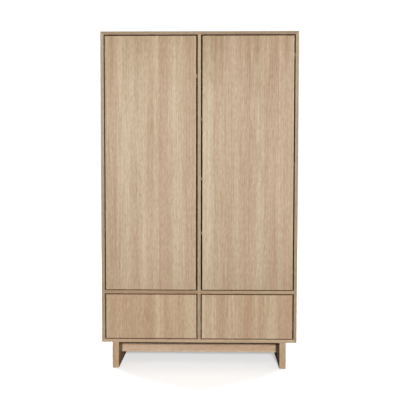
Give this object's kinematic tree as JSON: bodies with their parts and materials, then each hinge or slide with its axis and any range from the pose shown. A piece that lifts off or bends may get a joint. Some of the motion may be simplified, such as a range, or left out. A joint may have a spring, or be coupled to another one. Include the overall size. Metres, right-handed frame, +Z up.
{
  "type": "armoire",
  "caption": "Oak-veneered wardrobe with flush, handleless doors over flush drawers, raised on plank legs with a set-back rail.",
  "frame": {"origin": "on the floor, at the centre of the footprint", "axes": "+Z up, the doors and drawers face -Y, +X to the right as seen from the front"},
  "size_m": [1.1, 0.55, 1.89],
  "materials": {
    "oak_case": "clear-lacquered oak veneer, matt, with matching edge strips",
    "oak_doors": "clear-lacquered oak veneer, matt, upright grain",
    "oak_drawers": "clear-lacquered oak veneer, matt, upright grain",
    "oak_base": "clear-lacquered oak veneer, matt",
    "drawer_board": "pale birch plywood, satin",
    "back_board": "thin fibreboard with an oak-coloured face",
    "beech": "plain beech, fluted or pressed",
    "nickel_steel": "nickel-plated pressed steel, satin",
    "zinc_steel": "bright zinc-plated steel",
    "cast_zinc": "die-cast zinc, dull",
    "chrome_tube": "chrome-plated steel, polished",
    "latch_plastic": "moulded grey plastic, fine texture",
    "plunger_plastic": "moulded black plastic with a soft tip",
    "glide_plastic": "moulded brown plastic"
  },
  "bodies": {
    "carcass": {"left_side_panel": "oak_case", "right_side_panel": "oak_case", "top_panel": "oak_case", "bottom_panel": "oak_case", "centre_partition": "oak_case", "left_fixed_shelf": "oak_case", "right_fixed_shelf": "oak_case", "left_top_shelf": "oak_case", "right_lower_shelf": "oak_case", "right_middle_shelf": "oak_case", "right_upper_shelf": "oak_case", "left_back_panel": "back_board", "right_back_panel": "back_board", "left_leg": "oak_base", "right_leg": "oak_base", "front_rail": "oak_base", "rear_rail": "oak_base", "wood_dowels": "beech", "corner_biscuits": "beech", "hinge_arms": "nickel_steel", "hinge_plates": "nickel_steel", "shelf_pins": "nickel_steel", "carcass_screws": "zinc_steel", "base_bolts": "zinc_steel", "cam_bolts": "zinc_steel", "wall_brackets": "zinc_steel", "outer_runners": "zinc_steel", "cam_locks": "cast_zinc", "clothes_rail": "chrome_tube", "rail_sockets": "chrome_tube", "latch_housings": "latch_plastic", "floor_glides": "glide_plastic"},
    "left_door": {"left_door_panel": "oak_doors", "left_hinge_cups": "nickel_steel", "left_hinge_pins": "nickel_steel", "left_strike_plates": "zinc_steel", "left_door_screws": "zinc_steel"},
    "left_drawer": {"left_drawer_front": "oak_drawers", "left_drawer_sides": "drawer_board", "left_drawer_ends": "drawer_board", "left_drawer_bottom": "back_board", "left_drawer_screws": "zinc_steel", "left_inner_runners": "zinc_steel"},
    "left_runner_middle": {"left_middle_runners": "zinc_steel"},
    "left_door_latch": {"left_door_plungers": "plunger_plastic"},
    "left_drawer_latch": {"left_drawer_plunger": "plunger_plastic"},
    "right_door": {"right_door_panel": "oak_doors", "right_hinge_cups": "nickel_steel", "right_hinge_pins": "nickel_steel", "right_strike_plates": "zinc_steel", "right_door_screws": "zinc_steel"},
    "right_drawer": {"right_drawer_front": "oak_drawers", "right_drawer_sides": "drawer_board", "right_drawer_ends": "drawer_board", "right_drawer_bottom": "back_board", "right_drawer_screws": "zinc_steel", "right_inner_runners": "zinc_steel"},
    "right_runner_middle": {"right_middle_runners": "zinc_steel"},
    "right_door_latch": {"right_door_plungers": "plunger_plastic"},
    "right_drawer_latch": {"right_drawer_plunger": "plunger_plastic"}
  },
  "joints": [
    {"name": "left_door_hinge", "type": "hinge", "parent": "carcass", "child": "left_door", "pos_m": [-0.517, -0.2655, 1.15775], "axis": [0, 0, -1], "range_deg": [0, 105]},
    {"name": "left_drawer_slide", "type": "slide", "parent": "carcass", "child": "left_drawer", "axis": [0, -1, 0], "range_m": [0, 0.4]},
    {"name": "left_runner_slide", "type": "slide", "parent": "carcass", "child": "left_runner_middle", "axis": [0, -1, 0], "range_m": [0, 0.2]},
    {"name": "left_door_latch_push", "type": "slide", "parent": "carcass", "child": "left_door_latch", "axis": [0, -1, 0], "range_m": [0, 0.014]},
    {"name": "left_drawer_latch_push", "type": "slide", "parent": "carcass", "child": "left_drawer_latch", "axis": [0, -1, 0], "range_m": [0, 0.014]},
    {"name": "right_door_hinge", "type": "hinge", "parent": "carcass", "child": "right_door", "pos_m": [0.517, -0.2655, 1.15775], "axis": [0, 0, 1], "range_deg": [0, 105]},
    {"name": "right_drawer_slide", "type": "slide", "parent": "carcass", "child": "right_drawer", "axis": [0, -1, 0], "range_m": [0, 0.4]},
    {"name": "right_runner_slide", "type": "slide", "parent": "carcass", "child": "right_runner_middle", "axis": [0, -1, 0], "range_m": [0, 0.2]},
    {"name": "right_door_latch_push", "type": "slide", "parent": "carcass", "child": "right_door_latch", "axis": [0, -1, 0], "range_m": [0, 0.014]},
    {"name": "right_drawer_latch_push", "type": "slide", "parent": "carcass", "child": "right_drawer_latch", "axis": [0, -1, 0], "range_m": [0, 0.014]}
  ],
  "couplings": [
    {"joint": "left_runner_slide", "follows": "left_drawer_slide", "ratio": 0.5},
    {"joint": "left_door_latch_push", "follows": "left_door_hinge", "m_per_rad": 0.00763},
    {"joint": "left_drawer_latch_push", "follows": "left_drawer_slide", "ratio": 0.035},
    {"joint": "right_runner_slide", "follows": "right_drawer_slide", "ratio": 0.5},
    {"joint": "right_door_latch_push", "follows": "right_door_hinge", "m_per_rad": 0.00763},
    {"joint": "right_drawer_latch_push", "follows": "right_drawer_slide", "ratio": 0.035}
  ]
}
